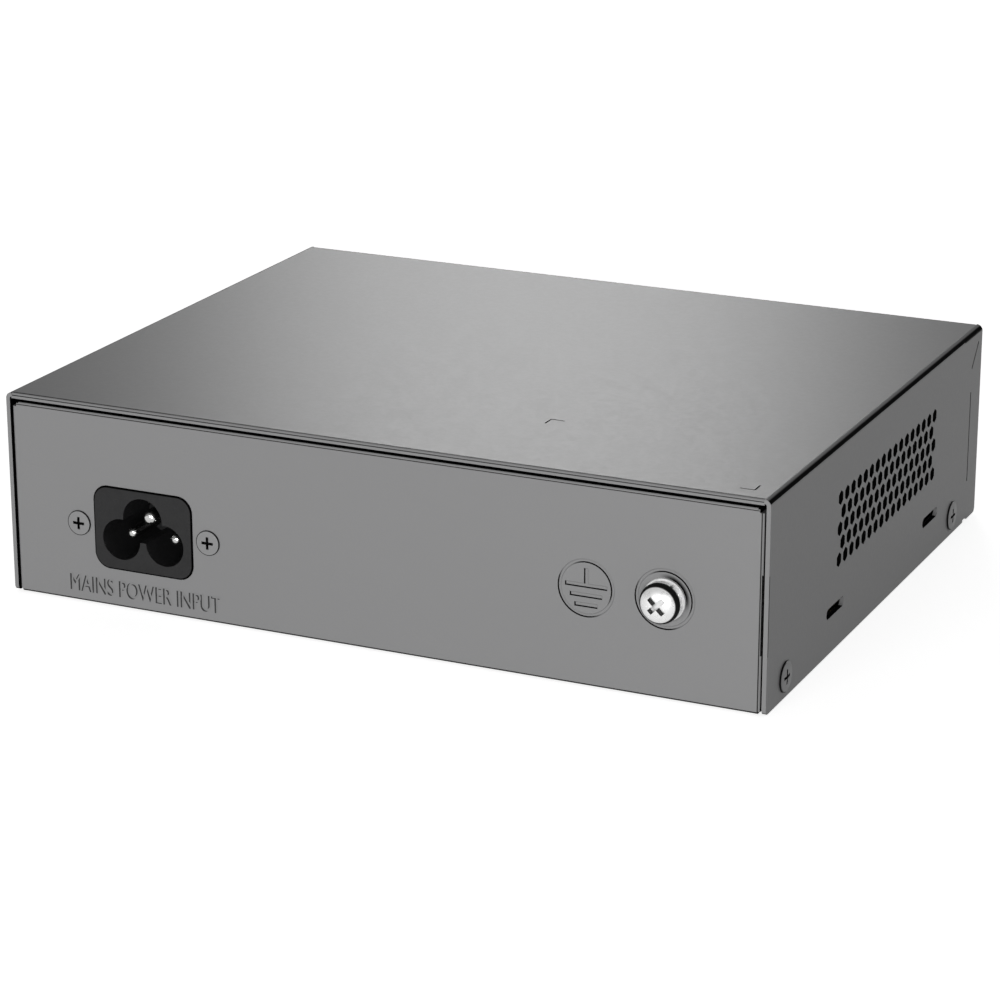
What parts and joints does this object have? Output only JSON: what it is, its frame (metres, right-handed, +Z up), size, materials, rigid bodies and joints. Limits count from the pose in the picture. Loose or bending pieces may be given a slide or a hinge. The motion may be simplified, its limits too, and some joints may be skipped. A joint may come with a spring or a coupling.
{
  "type": "power over ethernet switch",
  "caption": "Desktop network switch that feeds power over its ports: folded steel case, side vents, cloverleaf mains inlet and earth screw behind, socket rows in front.",
  "frame": {"origin": "bottom centre of the case", "axes": "+Z up, ports face -Y, mains inlet and earth screw face +Y, +X along the panels"},
  "size_m": [0.1554, 0.1273, 0.04],
  "materials": {
    "grey_paint": "satin",
    "inlet_plastic": "satin",
    "bright_pin": "polished",
    "bright_steel": "polished",
    "plated_steel": "satin",
    "plated_brass": "satin",
    "earth_sheath": "satin",
    "brown_sheath": "satin",
    "blue_sheath": "satin",
    "red_sheath": "satin",
    "black_sheath": "satin",
    "circuit_board": "satin",
    "supply_board": "satin",
    "insulating_film": "matt",
    "jack_plastic": "satin",
    "jack_steel": "satin",
    "gilt_contact": "polished",
    "clear_guide": "gloss",
    "lamp_body": "gloss",
    "black_moulding": "matt",
    "heatsink_metal": "satin",
    "crystal_can": "satin",
    "fuse_glass": "gloss",
    "fuse_plastic": "matt",
    "yellow_box": "satin",
    "copper_winding": "satin",
    "can_sleeve": "satin",
    "ferrite": "matt",
    "winding_tape": "satin",
    "white_socket": "satin"
  },
  "bodies": {
    "root": {"top_cover": "grey_paint", "base_tray": "grey_paint", "cover_screws": "grey_paint", "inlet_screws": "grey_paint", "ac_inlet_body": "inlet_plastic", "inlet_pin_live": "bright_pin", "inlet_pin_neutral": "bright_pin", "inlet_pin_earth": "bright_pin", "earth_screw": "bright_steel", "earth_washer": "bright_steel", "earth_lock_washer": "bright_steel", "inlet_nuts": "plated_steel", "earth_nut": "plated_steel", "earth_terminal": "plated_steel", "board_screws": "plated_steel", "board_standoffs": "plated_brass", "earth_wire": "earth_sheath", "mains_wire_live": "brown_sheath", "mains_wire_neutral": "blue_sheath", "output_wire_positive": "red_sheath", "output_wire_negative": "black_sheath", "main_board": "circuit_board", "psu_board": "supply_board", "insulating_sheet": "insulating_film", "powered_jack_housing": "jack_plastic", "uplink_jack_housing": "jack_plastic", "powered_jack_shield": "jack_steel", "uplink_jack_shield": "jack_steel", "powered_jack_contacts": "gilt_contact", "uplink_jack_contacts": "gilt_contact", "light_guide": "clear_guide", "status_lamps": "lamp_body", "port_magnetics_1": "black_moulding", "port_magnetics_2": "black_moulding", "port_magnetics_3": "black_moulding", "port_magnetics_4": "black_moulding", "port_magnetics_5": "black_moulding", "port_magnetics_6": "black_moulding", "switch_chip": "black_moulding", "power_controller": "black_moulding", "memory_chip": "black_moulding", "power_inductor": "black_moulding", "bridge_rectifier": "black_moulding", "power_transistor": "black_moulding", "output_rectifier": "black_moulding", "switch_heatsink": "heatsink_metal", "primary_heatsink": "heatsink_metal", "secondary_heatsink": "heatsink_metal", "clock_crystal": "crystal_can", "mains_fuse": "fuse_glass", "fuse_holder": "fuse_plastic", "filter_capacitor": "yellow_box", "line_choke": "copper_winding", "bulk_capacitor": "can_sleeve", "rail_capacitors": "can_sleeve", "output_capacitors": "can_sleeve", "transformer_core": "ferrite", "transformer_winding": "winding_tape", "output_socket": "white_socket", "input_socket": "white_socket"}
  },
  "joints": []
}
